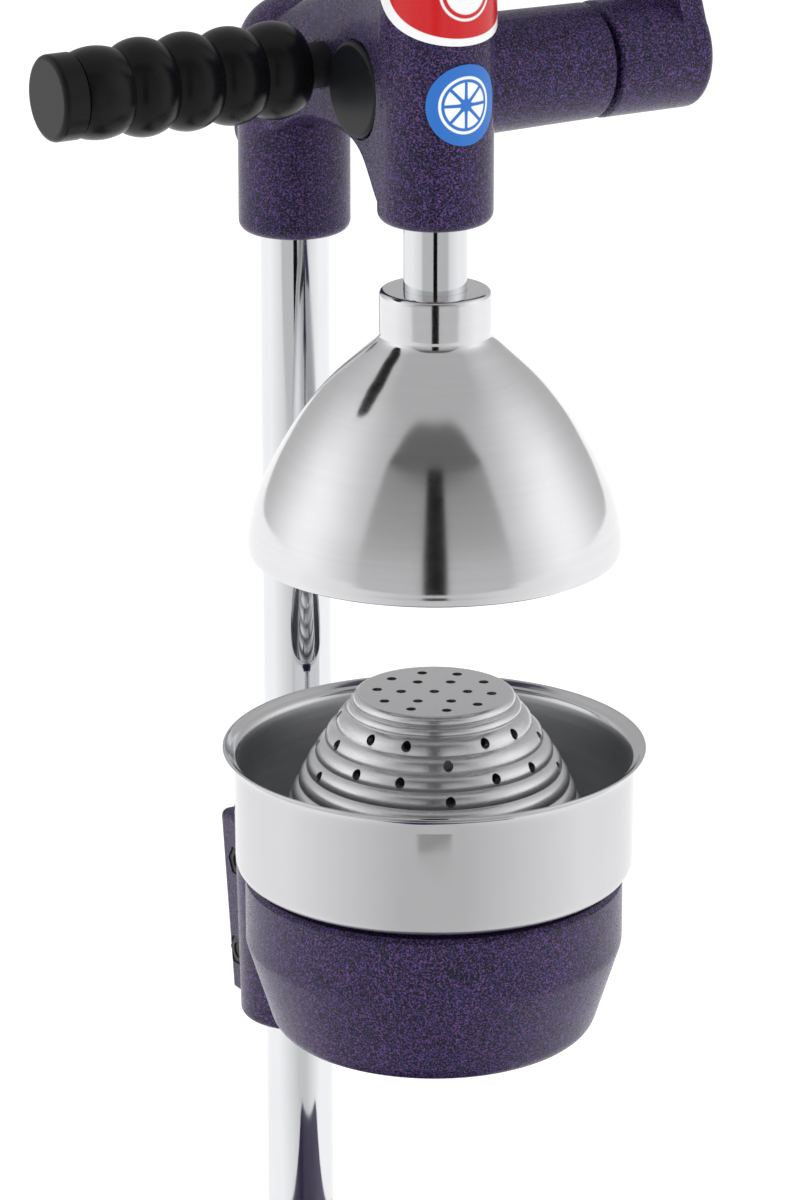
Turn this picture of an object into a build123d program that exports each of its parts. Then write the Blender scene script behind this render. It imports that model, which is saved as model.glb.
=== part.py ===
from build123d import *
import os
from math import acos, cos, pi, radians, sin, sqrt, tan

# Lever citrus and fruit press: rack and pinion on a round column.
# Millimetres. +Z up, front is -Y. The rack axis is X = Y = 0 and the floor is Z = 0.
os.makedirs("parts", exist_ok=True)

# ---- driving dimensions ----
column_r = 12.5
column_y = 100.0
column_top_z = 514.0
column_foot_z = 20.0
slide_gap = 0.03
run_gap = 0.05

# base
base_half_x = 95.0
base_front_y = -95.0
base_rear_y = column_y + 45.0
pad_thick = 4.0
base_top_z = 26.0
base_wall = 8.0
base_roof = 8.0
base_corner_r = 28.0
base_boss_r = 25.0
base_boss_top_z = 46.0
base_inner_boss_r = 22.0
bolt_shelf = 6.0

# head casting
boss_r = 20.0
boss_low_z = 472.0
boss_top_z = 585.0
sleeve_r = 20.15
sleeve_low_z = 447.0
sleeve_top_z = 533.0
web_wide_half = 19.5
web_waist_half = 14.5
web_front_y = 4.0
web_rear_y = column_y - web_front_y
flank_x = 15.0
grip_seat_x = 14.4
arch_z = 496.0
rear_boss_r = 10.0
rear_boss_z = 480.0
rear_boss_y = column_y + 28.0

# labels on the front boss
badge_z = 557.0
badge_half_high = 20.0
badge_half_turn = radians(98.0)
badge_thick = 0.9
sticker_z = 516.5
sticker_r = 14.0
sticker_thick = 0.4
label_steps = 24
label_clear = 5.0

# gearing
gear_module = 2.0
gear_teeth = 20
gear_width = 14.0
pinion_z = 514.5
pinion_y = 26.0
pressure = radians(20.0)
pitch_r = gear_module * gear_teeth / 2
gear_tip_r = pitch_r + gear_module
gear_root_r = pitch_r - 1.25 * gear_module
tooth_slack = 0.12
chamber_gap = 0.8
chamber_r = gear_tip_r + 1.0

# pinion shaft and its bearings
shaft_r = 10.0
bush_wall = 3.0
housing_r = 21.5
housing_end_x = 77.4
cap_r = 16.8
cap_thick = 3.0
key_half = 3.0
key_low = 6.5
key_high = 12.8

# lever
hub_r = 20.7
hub_in_x = 79.0
hub_out_x = 117.6
arm_thick = 11.0
arm_lean = 21.0
arm_length = 170.0
arm_root_half = 20.0
arm_tip_half = 13.0

# ribbed grips
grip_bump_r = 17.15
grip_valley_r = 14.2
grip_pitch = 17.1
grip_bumps = 5
grip_end_r = 15.0
grip_end_long = 10.0
grip_bore_r = 5.0
grip_bore_deep = 62.0
grip_long = grip_pitch * grip_bumps + grip_end_long
side_grip_x = -25.6
side_grip_y = 53.0
side_grip_z = 518.0

# rack
rack_r = 11.0
rack_foot_z = 412.0
rack_top_z = 624.0
rack_flat_y = pinion_y - pitch_r + gear_module
rack_flat_z = 496.0

# bell
bell_collar_r = 19.5
bell_collar_top_z = 448.0
bell_rim_z = 353.5
bell_rim_r = 64.6
bell_wall = 3.2
bell_roof_z = 397.0

# strainer cone
cone_foot_z = 237.4
cone_top_z = 301.0
cone_foot_r = 57.0
cone_top_r = 26.6
cone_wall = 2.2
ridge_pitch = 5.4
ridge_depth = 1.1
ridge_bulge = 1.1
ridge_first = 3.4
ridge_second = 6.3
drain_hole_r = 1.75

# bowl
bowl_rim_z = 281.5
bowl_rim_r = 75.0
bowl_wall_r = 70.7
bowl_wall = 1.5
bowl_floor_z = 235.4
bowl_floor = 2.0
bowl_corner_r = 5.0
flare_high = 7.0
spigot_r = 48.0
spout_r = 10.0
spout_low_z = 186.0

# bowl seat
seat_ring_r = 67.3
seat_ring_top_z = 233.3
seat_ring_low_z = 209.0
seat_low_r = 55.0
seat_low_z = 175.0
seat_step_r = 60.0
seat_sleeve_r = 24.0
seat_sleeve_foot_r = 22.0
seat_sleeve_top_z = 225.0
seat_sleeve_low_z = 143.0
lug_half = 12.0
clamp_sink = 5.5
lug_top_y = column_y + 41.0
lug_low_y = column_y + 32.0
lug_top_z = 214.0
slit_half = 1.0
clamp_y = column_y + 27.5
clamp_low_z = 160.0
clamp_high_z = 196.0
clamp_bolt_r = 3.0
clamp_head_r = 5.0

arm_dir = (0, sin(radians(arm_lean)), cos(radians(arm_lean)))


def along_x(x, y=0.0, z=0.0):
    """Plane facing +X with its local axes along Y and Z."""
    return Plane(origin=(x, y, z), x_dir=(0, 1, 0), z_dir=(1, 0, 0))


def involute(angle):
    return tan(angle) - angle


# ---- floor pad and base ----
with BuildPart() as anti_slip_pad:
    with BuildSketch(Plane.XY):
        with Locations((0, (base_front_y + base_rear_y) / 2)):
            RectangleRounded(2 * base_half_x - 4, base_rear_y - base_front_y - 4, base_corner_r - 2)
            RectangleRounded(2 * base_half_x - 28, base_rear_y - base_front_y - 28,
                             base_corner_r - 14, mode=Mode.SUBTRACT)
    extrude(amount=pad_thick)
    fillet(anti_slip_pad.faces().sort_by(Axis.Z)[0].outer_wire().edges(), 1.0)
anti_slip_pad.part.label = "anti_slip_pad"

base_mid_y = (base_front_y + base_rear_y) / 2
base_long = base_rear_y - base_front_y
with BuildPart() as base_plate:
    with BuildSketch(Plane.XY.offset(pad_thick)):
        with Locations((0, base_mid_y)):
            RectangleRounded(2 * base_half_x, base_long, base_corner_r)
    extrude(amount=base_top_z - pad_thick, taper=2)
    fillet(base_plate.faces().sort_by(Axis.Z)[-1].edges(), 6.0)
    with BuildSketch(Plane.XY.offset(pad_thick)):
        with Locations((0, base_mid_y)):
            RectangleRounded(2 * (base_half_x - base_wall - 8), base_long - 2 * (base_wall + 8),
                             base_corner_r - base_wall)
    extrude(amount=base_top_z - base_roof - pad_thick, mode=Mode.SUBTRACT)
    with BuildSketch(Plane.XY.offset(base_top_z - 1)):
        with Locations((0, column_y)):
            Circle(base_boss_r)
    extrude(amount=base_boss_top_z - base_top_z + 1)
    fillet(base_plate.faces().sort_by(Axis.Z)[-1].edges(), 4.0)
    with BuildSketch(Plane.XY.offset(pad_thick)):
        with Locations((0, column_y)):
            Circle(base_inner_boss_r)
    extrude(amount=base_top_z - base_roof - pad_thick + 1)
    # stiffening ribs under the roof
    with BuildSketch(Plane.XY.offset(pad_thick + 4)):
        with Locations((0, (base_front_y + column_y) / 2)):
            Rectangle(6, column_y - base_front_y - 30)
        with Locations((0, 0)):
            Rectangle(2 * base_half_x - 24, 6)
    extrude(amount=base_top_z - base_roof - pad_thick - 3)
    with BuildSketch(Plane.XY.offset(column_foot_z)):
        with Locations((0, column_y)):
            Circle(column_r + slide_gap)
    extrude(amount=base_boss_top_z, mode=Mode.SUBTRACT)
    with BuildSketch(Plane.XY):
        with Locations((0, column_y)):
            Circle(5.25)
    extrude(amount=column_foot_z + 1, mode=Mode.SUBTRACT)
    with BuildSketch(Plane.XY):
        with Locations((0, column_y)):
            Circle(15.0)
    extrude(amount=column_foot_z - bolt_shelf, mode=Mode.SUBTRACT)
    with BuildSketch(Plane(origin=(0, column_y, 37), x_dir=(1, 0, 0), z_dir=(0, 1, 0))):
        Circle(5.0)
    extrude(amount=40, mode=Mode.SUBTRACT)
base_plate.part.label = "base_plate"

with BuildPart() as column:
    with BuildSketch(Plane.XY.offset(column_foot_z)):
        with Locations((0, column_y)):
            Circle(column_r)
    extrude(amount=column_top_z - column_foot_z)
    chamfer(column.faces().sort_by(Axis.Z)[-1].edges(), 1.5)
    with BuildSketch(Plane.XY.offset(column_foot_z)):
        with Locations((0, column_y)):
            Circle(5.0)
    extrude(amount=32, mode=Mode.SUBTRACT)
column.part.label = "column"

with BuildPart() as column_washer:
    with BuildSketch(Plane.XY.offset(column_foot_z - bolt_shelf - 2)):
        with Locations((0, column_y)):
            Circle(11.0)
            Circle(5.2, mode=Mode.SUBTRACT)
    extrude(amount=2)
column_washer.part.label = "column_washer"

with BuildPart() as column_bolt:
    with BuildSketch(Plane.XY.offset(column_foot_z - bolt_shelf - 2 - 6.4)):
        with Locations((0, column_y)):
            RegularPolygon(9.0, 6)
    extrude(amount=6.4)
    with BuildSketch(Plane.XY.offset(column_foot_z - bolt_shelf - 3)):
        with Locations((0, column_y)):
            Circle(5.0)
    extrude(amount=bolt_shelf + 3 + 26)
column_bolt.part.label = "column_bolt"

with BuildPart() as grub_screws:
    for screw_z in (37.0, rear_boss_z):
        with BuildSketch(Plane(origin=(0, column_y + column_r, screw_z), x_dir=(1, 0, 0), z_dir=(0, 1, 0))):
            Circle(5.0)
        extrude(amount=11)
        with BuildSketch(Plane(origin=(0, column_y + column_r + 6, screw_z), x_dir=(1, 0, 0),
                               z_dir=(0, 1, 0))):
            RegularPolygon(2.9, 6)
        extrude(amount=10, mode=Mode.SUBTRACT)
grub_screws.part.label = "grub_screws"

# ---- head casting ----
with BuildPart() as head_casting:
    with BuildSketch(along_x(-30)):
        with BuildLine():
            Polyline((5, boss_low_z + 2), (0, boss_low_z + 2), (0, boss_top_z - 5),
                     (column_y, sleeve_top_z - 9), (column_y, boss_low_z + 2))
            Spline((column_y, boss_low_z + 2), (column_y - 12, arch_z - 11),
                   (column_y - 28, arch_z - 2), (column_y - 50, arch_z), (25, arch_z - 6),
                   (15, arch_z - 15), (5, boss_low_z + 2))
        make_face()
    extrude(amount=60)
    with BuildSketch(Plane.XY.offset(boss_low_z - 10)):
        with BuildLine():
            Line((-web_wide_half, web_front_y), (web_wide_half, web_front_y))
            ThreePointArc((web_wide_half, web_front_y), (web_waist_half, column_y / 2),
                          (web_wide_half, web_rear_y))
            Line((web_wide_half, web_rear_y), (0, column_y))
            Line((0, column_y), (-web_wide_half, web_rear_y))
            ThreePointArc((-web_wide_half, web_rear_y), (-web_waist_half, column_y / 2),
                          (-web_wide_half, web_front_y))
        make_face()
    extrude(amount=200, mode=Mode.INTERSECT)
    fillet(head_casting.edges().filter_by(lambda e: e.length > 70 and e.center().Z > 535), 12.0)
    fillet(head_casting.edges().filter_by(lambda e: e.length > 70 and e.center().Z < 500), 5.0)
    with BuildSketch(Plane.XZ.offset(-column_y)):
        with BuildLine():
            Polyline((0, sleeve_top_z), (0, sleeve_low_z), (sleeve_r - 4, sleeve_low_z))
            ThreePointArc((sleeve_r - 4, sleeve_low_z),
                          (sleeve_r - 4 + 4 * sin(pi / 4), sleeve_low_z + 4 - 4 * cos(pi / 4)),
                          (sleeve_r, sleeve_low_z + 4))
            Line((sleeve_r, sleeve_low_z + 4), (sleeve_r, sleeve_top_z - sleeve_r))
            ThreePointArc((sleeve_r, sleeve_top_z - sleeve_r),
                          (sleeve_r * cos(pi / 4), sleeve_top_z - sleeve_r * (1 - sin(pi / 4))),
                          (0, sleeve_top_z))
        make_face()
    revolve(axis=Axis((0, column_y, 0), (0, 0, 1)))
    with BuildSketch(Plane.XZ):
        with BuildLine():
            Polyline((0, boss_top_z), (0, boss_low_z), (boss_r - 4, boss_low_z))
            ThreePointArc((boss_r - 4, boss_low_z),
                          (boss_r - 4 + 4 * sin(pi / 4), boss_low_z + 4 - 4 * cos(pi / 4)),
                          (boss_r, boss_low_z + 4))
            Polyline((boss_r, boss_low_z + 4), (boss_r, boss_top_z - 3), (boss_r - 3, boss_top_z),
                     (0, boss_top_z))
        make_face()
    revolve(axis=Axis.Z)
    with BuildSketch(along_x(0, pinion_y, pinion_z)):
        Circle(housing_r)
    extrude(amount=housing_end_x, taper=0.81)
    fillet(head_casting.faces().sort_by(Axis.X)[-1].edges(), 2.0)
    with BuildSketch(Plane(origin=(0, column_y, rear_boss_z), x_dir=(1, 0, 0), z_dir=(0, 1, 0))):
        Circle(rear_boss_r)
    extrude(amount=rear_boss_y - column_y)
    fillet(head_casting.faces().sort_by(Axis.Y)[-1].edges(), 2.0)
    # spot face for the shaft's end cap
    with BuildSketch(along_x(-flank_x - 8, pinion_y, pinion_z)):
        Circle(cap_r + 0.8)
    extrude(amount=8, mode=Mode.SUBTRACT)
    with BuildSketch(along_x(-grip_seat_x - 8, side_grip_y, side_grip_z)):
        Circle(9.0)
    extrude(amount=8, mode=Mode.SUBTRACT)
    # bores: rack, its bushes, shaft bearings, column, screws
    with BuildSketch(Plane.XY.offset(boss_low_z - 1)):
        Circle(rack_r + 0.6)
    extrude(amount=boss_top_z - boss_low_z + 2, mode=Mode.SUBTRACT)
    with BuildSketch(Plane.XY.offset(boss_low_z - 1)):
        Circle(rack_r + bush_wall)
    extrude(amount=1 + 18, mode=Mode.SUBTRACT)
    with BuildSketch(Plane.XY.offset(boss_top_z - 22)):
        Circle(rack_r + bush_wall)
    extrude(amount=23, mode=Mode.SUBTRACT)
    with BuildSketch(along_x(-flank_x - 1, pinion_y, pinion_z)):
        Circle(shaft_r + bush_wall)
    extrude(amount=flank_x + housing_end_x + 2, mode=Mode.SUBTRACT)
    with BuildSketch(Plane.XY.offset(sleeve_low_z - 1)):
        with Locations((0, column_y)):
            Circle(column_r + slide_gap)
    extrude(amount=column_top_z - sleeve_low_z + 1.5, mode=Mode.SUBTRACT)
    with BuildSketch(Plane(origin=(0, column_y, rear_boss_z), x_dir=(1, 0, 0), z_dir=(0, 1, 0))):
        Circle(5.0)
    extrude(amount=40, mode=Mode.SUBTRACT)
    # gear chamber, with room for the gear to enter from the arch and move forward
    with BuildSketch(along_x(-gear_width / 2 - chamber_gap, pinion_y, pinion_z)):
        Circle(chamber_r)
        with Locations((21, 0)):
            Circle(chamber_r)
        with Locations((10.5, 0)):
            Rectangle(21, 2 * chamber_r)
        with Locations((21, -chamber_r)):
            Rectangle(2 * chamber_r, 2 * chamber_r)
    extrude(amount=gear_width + 2 * chamber_gap, mode=Mode.SUBTRACT)
    # threaded socket for the side grip's stud
    with BuildSketch(along_x(-grip_seat_x - 1, side_grip_y, side_grip_z)):
        Circle(grip_bore_r)
    extrude(amount=6.8, mode=Mode.SUBTRACT)
head_casting.part.label = "head_casting"

with BuildPart() as rack_bush_lower:
    with BuildSketch(Plane.XY.offset(boss_low_z)):
        Circle(rack_r + bush_wall)
        Circle(rack_r + run_gap, mode=Mode.SUBTRACT)
    extrude(amount=18)
rack_bush_lower.part.label = "rack_bush_lower"

with BuildPart() as rack_bush_upper:
    with BuildSketch(Plane.XY.offset(boss_top_z - 22)):
        Circle(rack_r + bush_wall)
        Circle(rack_r + run_gap, mode=Mode.SUBTRACT)
    extrude(amount=22)
rack_bush_upper.part.label = "rack_bush_upper"

with BuildPart() as shaft_bush_left:
    with BuildSketch(along_x(-flank_x, pinion_y, pinion_z)):
        Circle(shaft_r + bush_wall)
        Circle(shaft_r + run_gap, mode=Mode.SUBTRACT)
    extrude(amount=flank_x - gear_width / 2 - chamber_gap)
shaft_bush_left.part.label = "shaft_bush_left"

with BuildPart() as shaft_bush_inner:
    with BuildSketch(along_x(gear_width / 2 + chamber_gap, pinion_y, pinion_z)):
        Circle(shaft_r + bush_wall)
        Circle(shaft_r + run_gap, mode=Mode.SUBTRACT)
    extrude(amount=22)
shaft_bush_inner.part.label = "shaft_bush_inner"

with BuildPart() as shaft_bush_outer:
    with BuildSketch(along_x(housing_end_x - 22, pinion_y, pinion_z)):
        Circle(shaft_r + bush_wall)
        Circle(shaft_r + run_gap, mode=Mode.SUBTRACT)
    extrude(amount=22)
shaft_bush_outer.part.label = "shaft_bush_outer"


# ---- ribbed grips: one profile, drawn on two planes ----
def grip_outline():
    Line((0, grip_bore_r), (0, grip_valley_r))
    for k in range(grip_bumps):
        rise = grip_bump_r if k < grip_bumps - 1 else grip_bump_r - 1.1
        ThreePointArc((k * grip_pitch, grip_valley_r), ((k + 0.5) * grip_pitch, rise),
                      ((k + 1) * grip_pitch, grip_valley_r))
    mark = grip_bumps * grip_pitch
    Polyline((mark, grip_valley_r), (mark, grip_valley_r - 0.6), (mark + 0.6, grip_valley_r - 0.6),
             (mark + 0.6, grip_end_r - 0.4), (mark + 1.0, grip_end_r), (grip_long - 2, grip_end_r))
    ThreePointArc((grip_long - 2, grip_end_r), (grip_long - 0.59, grip_end_r - 0.59),
                  (grip_long, grip_end_r - 2))
    Polyline((grip_long, grip_end_r - 2), (grip_long, 0), (grip_bore_deep, 0),
             (grip_bore_deep, grip_bore_r), (0, grip_bore_r))


with BuildPart() as side_grip:
    with BuildSketch(Plane(origin=(side_grip_x, side_grip_y, side_grip_z), x_dir=(-1, 0, 0),
                           z_dir=(0, 1, 0))):
        with BuildLine():
            grip_outline()
        make_face()
    revolve(axis=Axis((side_grip_x, side_grip_y, side_grip_z), (-1, 0, 0)))
side_grip.part.label = "side_grip"

with BuildPart() as side_grip_stud:
    with BuildSketch(along_x(side_grip_x - grip_bore_deep + 2, side_grip_y, side_grip_z)):
        Circle(grip_bore_r)
    extrude(amount=grip_bore_deep - 2 - side_grip_x - grip_seat_x + 5.5)
    with BuildSketch(along_x(side_grip_x, side_grip_y, side_grip_z)):
        Circle(8.0)
    extrude(amount=-side_grip_x - grip_seat_x)
side_grip_stud.part.label = "side_grip_stud"

grip_start = (hub_out_x - arm_thick / 2, pinion_y + (arm_length + 2) * arm_dir[1],
              pinion_z + (arm_length + 2) * arm_dir[2])
with BuildPart() as lever_grip:
    with BuildSketch(Plane(origin=grip_start, x_dir=arm_dir, z_dir=(1, 0, 0))):
        with BuildLine():
            grip_outline()
        make_face()
    revolve(axis=Axis(grip_start, arm_dir))
lever_grip.part.label = "lever_grip"

stud_start = (grip_start[0], grip_start[1] - 27 * arm_dir[1], grip_start[2] - 27 * arm_dir[2])
with BuildPart() as lever_grip_stud:
    with BuildSketch(Plane(origin=stud_start, x_dir=(1, 0, 0), z_dir=arm_dir)):
        Circle(grip_bore_r - 1)
    extrude(amount=27)
    with BuildSketch(Plane(origin=grip_start, x_dir=(1, 0, 0), z_dir=arm_dir)):
        Circle(grip_bore_r)
    extrude(amount=grip_bore_deep - 2)
    with BuildSketch(Plane(origin=grip_start, x_dir=(1, 0, 0), z_dir=arm_dir)):
        Circle(8.0)
    extrude(amount=-2)
lever_grip_stud.part.label = "lever_grip_stud"

# ---- pinion shaft, gear, keys, lever ----
with BuildPart() as pinion_shaft:
    with BuildSketch(along_x(-flank_x - 0.4, pinion_y, pinion_z)):
        Circle(shaft_r)
    extrude(amount=flank_x + 0.4 + hub_out_x - 9.6)
    with BuildSketch(along_x(-flank_x - 0.4, pinion_y, pinion_z)):
        Circle(5.0)
    extrude(amount=12, mode=Mode.SUBTRACT)
    with BuildSketch(along_x(hub_out_x - 40, pinion_y, pinion_z)):
        Circle(4.0)
    extrude(amount=40, mode=Mode.SUBTRACT)
    for key_x, key_long in ((-gear_width / 2, gear_width), (hub_in_x + 3, 22)):
        with BuildSketch(along_x(key_x, pinion_y, pinion_z)):
            with Locations((0, (key_low + shaft_r + 2) / 2)):
                Rectangle(2 * key_half, shaft_r + 2 - key_low)
        extrude(amount=key_long, mode=Mode.SUBTRACT)
pinion_shaft.part.label = "pinion_shaft"

with BuildPart() as shaft_keys:
    for key_x, key_long in ((-gear_width / 2, gear_width), (hub_in_x + 3, 22)):
        with BuildSketch(along_x(key_x, pinion_y, pinion_z)):
            with Locations((0, (key_low + key_high) / 2)):
                Rectangle(2 * key_half, key_high - key_low)
        extrude(amount=key_long)
shaft_keys.part.label = "shaft_keys"

with BuildPart() as shaft_end_cap:
    with BuildSketch(along_x(-flank_x - 0.4, pinion_y, pinion_z)):
        Circle(cap_r)
    extrude(amount=-cap_thick)
    fillet(shaft_end_cap.faces().sort_by(Axis.X)[0].edges(), 1.8)
    with BuildSketch(along_x(-flank_x - 0.4, pinion_y, pinion_z)):
        Circle(5.0)
    extrude(amount=10)
shaft_end_cap.part.label = "shaft_end_cap"

base_circle = pitch_r * cos(pressure)
half_tooth = pi / (2 * gear_teeth) - tooth_slack / (2 * pitch_r) + involute(pressure)
tooth_pitch = 2 * pi / gear_teeth
gear_points = []
for k in range(gear_teeth):
    centre = (k + 0.5) * tooth_pitch
    flank = []
    for j in range(5):
        rho = base_circle + (gear_tip_r - base_circle) * j / 4
        flank.append((rho, half_tooth - involute(acos(min(1.0, base_circle / rho)))))
    side = [(gear_root_r, flank[0][1] + 0.015)] + flank
    for rho, half in side:
        gear_points.append((rho * cos(centre - half), rho * sin(centre - half)))
    for rho, half in reversed(side):
        gear_points.append((rho * cos(centre + half), rho * sin(centre + half)))

with BuildPart() as pinion_gear:
    with BuildSketch(along_x(-gear_width / 2, pinion_y, pinion_z)):
        with BuildLine():
            Polyline(*gear_points, close=True)
        make_face()
        Circle(shaft_r, mode=Mode.SUBTRACT)
        with Locations((0, key_high / 2)):
            Rectangle(2 * key_half, key_high, mode=Mode.SUBTRACT)
    extrude(amount=gear_width)
pinion_gear.part.label = "pinion_gear"

with BuildPart() as thrust_washer:
    with BuildSketch(along_x(housing_end_x, pinion_y, pinion_z)):
        Circle(16.0)
        Circle(shaft_r + run_gap, mode=Mode.SUBTRACT)
    extrude(amount=hub_in_x - housing_end_x)
thrust_washer.part.label = "thrust_washer"

with BuildPart() as lever_arm:
    with BuildSketch(along_x(hub_in_x, pinion_y, pinion_z)):
        Circle(hub_r)
    extrude(amount=hub_out_x - hub_in_x)
    with BuildSketch(Plane(origin=(hub_out_x - arm_thick, pinion_y, pinion_z), x_dir=arm_dir,
                           z_dir=(1, 0, 0))):
        with BuildLine():
            Line((0, arm_root_half), (0, -arm_root_half))
            Line((0, -arm_root_half), (arm_length, -arm_tip_half))
            Line((arm_length, -arm_tip_half), (arm_length, arm_tip_half))
            Line((arm_length, arm_tip_half), (0, arm_root_half))
        make_face()
    extrude(amount=arm_thick)
    fillet(lever_arm.edges().filter_by(lambda e: abs(e.length - arm_thick) < 0.01
                                       and e.center().Z > pinion_z + 100), 6.0)
    fillet(lever_arm.edges().filter_by(lambda e: e.center().X > hub_out_x - 0.01), 3.5)
    fillet(lever_arm.faces().sort_by(Axis.X)[0].edges(), 1.5)
    with BuildSketch(along_x(hub_in_x, pinion_y, pinion_z)):
        Circle(shaft_r)
    extrude(amount=hub_out_x - 9.6 - hub_in_x, mode=Mode.SUBTRACT)
    with BuildSketch(along_x(hub_in_x, pinion_y, pinion_z)):
        with Locations((0, key_high / 2)):
            Rectangle(2 * key_half, key_high)
    extrude(amount=25, mode=Mode.SUBTRACT)
    with BuildSketch(along_x(hub_in_x, pinion_y, pinion_z)):
        Circle(4.2)
    extrude(amount=60, mode=Mode.SUBTRACT)
    with BuildSketch(Plane(origin=stud_start, x_dir=(1, 0, 0), z_dir=arm_dir)):
        Circle(grip_bore_r - 1)
    extrude(amount=60, mode=Mode.SUBTRACT)
lever_arm.part.label = "lever_arm"

with BuildPart() as lever_hub_screw:
    with BuildSketch(along_x(hub_out_x, pinion_y, pinion_z)):
        Circle(8.0)
    extrude(amount=4.4)
    fillet(lever_hub_screw.faces().sort_by(Axis.X)[-1].edges(), 2.5)
    with BuildSketch(along_x(hub_out_x + 1.4, pinion_y, pinion_z)):
        RegularPolygon(2.9, 6)
    extrude(amount=5, mode=Mode.SUBTRACT)
    with BuildSketch(along_x(hub_out_x - 34, pinion_y, pinion_z)):
        Circle(4.0)
    extrude(amount=34)
lever_hub_screw.part.label = "lever_hub_screw"

# ---- rack rod ----
gap_foot = pi * gear_module / 2 - 2.5 * gear_module / 2 * tan(pressure) * 2
gap_mouth = pi * gear_module / 2 + gear_module * tan(pressure) * 2
rack_root_y = rack_flat_y - gear_module - 1.25 * gear_module
with BuildPart() as rack_rod:
    with BuildSketch(Plane.XY.offset(rack_foot_z)):
        Circle(rack_r)
    extrude(amount=rack_top_z - rack_foot_z)
    chamfer(rack_rod.faces().sort_by(Axis.Z)[-1].edges(), 1.5)
    with BuildSketch(along_x(-rack_r - 1)):
        with Locations((rack_flat_y + 5, (rack_flat_z + rack_top_z + 2) / 2)):
            Rectangle(10, rack_top_z + 2 - rack_flat_z)
    extrude(amount=2 * rack_r + 2, mode=Mode.SUBTRACT)
    with BuildSketch(along_x(-rack_r - 1)):
        for k in range(-3, 17):
            gap_z = pinion_z + (k + 0.5) * pi * gear_module
            with BuildLine():
                Polyline((rack_root_y, gap_z - gap_foot / 2), (rack_flat_y, gap_z - gap_mouth / 2),
                         (rack_flat_y + 2, gap_z - gap_mouth / 2),
                         (rack_flat_y + 2, gap_z + gap_mouth / 2),
                         (rack_flat_y, gap_z + gap_mouth / 2),
                         (rack_root_y, gap_z + gap_foot / 2), close=True)
            make_face()
    extrude(amount=2 * rack_r + 2, mode=Mode.SUBTRACT)
    with BuildSketch(Plane.XY.offset(rack_foot_z)):
        Circle(4.0)
    extrude(amount=24, mode=Mode.SUBTRACT)
rack_rod.part.label = "rack_rod"

# ---- pressing bell ----
bell_skirt = [(45.7, 404.0), (55.9, 388.0), (62.7, 371.7), (65.3, 359.0)]
with BuildPart() as bell:
    with BuildSketch(Plane.XZ):
        with BuildLine():
            Polyline((0, bell_roof_z), (0, bell_collar_top_z), (bell_collar_r - 1.5, bell_collar_top_z),
                     (bell_collar_r, bell_collar_top_z - 1.5), (bell_collar_r, 431.0))
            Spline((bell_collar_r, 431.0), (25.1, 426.0), (36.7, 415.0), *bell_skirt,
                   (bell_rim_r, bell_rim_z), tangents=((0, -1), (-0.25, -1)))
            Line((bell_rim_r, bell_rim_z), (bell_rim_r - bell_wall, bell_rim_z))
            Spline((bell_rim_r - bell_wall, bell_rim_z), (61.2, 363.0), (57.2, 378.0), (48.0, 390.5),
                   (34.0, bell_roof_z), tangents=((0, 1), (-1, 0)))
            Line((34.0, bell_roof_z), (0, bell_roof_z))
        make_face()
    revolve(axis=Axis.Z)
    with BuildSketch(Plane.XY.offset(rack_foot_z)):
        Circle(rack_r)
    extrude(amount=60, mode=Mode.SUBTRACT)
    with BuildSketch(Plane.XY.offset(bell_roof_z - 1)):
        Circle(4.4)
    extrude(amount=30, mode=Mode.SUBTRACT)
    with BuildSketch(Plane.XY.offset(bell_roof_z - 1)):
        Circle(7.5)
    extrude(amount=10, mode=Mode.SUBTRACT)
bell.part.label = "bell"

with BuildPart() as bell_screw:
    with BuildSketch(Plane.XY.offset(bell_roof_z + 1)):
        Circle(6.5)
    extrude(amount=8)
    with BuildSketch(Plane.XY.offset(bell_roof_z + 1)):
        Circle(4.0)
    extrude(amount=rack_foot_z - bell_roof_z + 20)
    with BuildSketch(Plane.XY.offset(bell_roof_z + 1)):
        RegularPolygon(3.4, 6)
    extrude(amount=4, mode=Mode.SUBTRACT)
bell_screw.part.label = "bell_screw"

# ---- strainer cone ----
cone_high = cone_top_z - cone_foot_z


def cone_radius(z):
    """Outside radius of the strainer at a height: a power curve from foot to top disc."""
    return cone_foot_r - (cone_foot_r - cone_top_r) * ((z - cone_foot_z) / cone_high) ** 1.82


def rolled_out(start, end):
    """Middle of a ridge between two grooves: the chord's middle moved out square to the chord."""
    across, down = end[0] - start[0], start[1] - end[1]
    chord = sqrt(across ** 2 + down ** 2)
    return ((start[0] + end[0]) / 2 + ridge_bulge * down / chord,
            (start[1] + end[1]) / 2 + ridge_bulge * across / chord)


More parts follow.
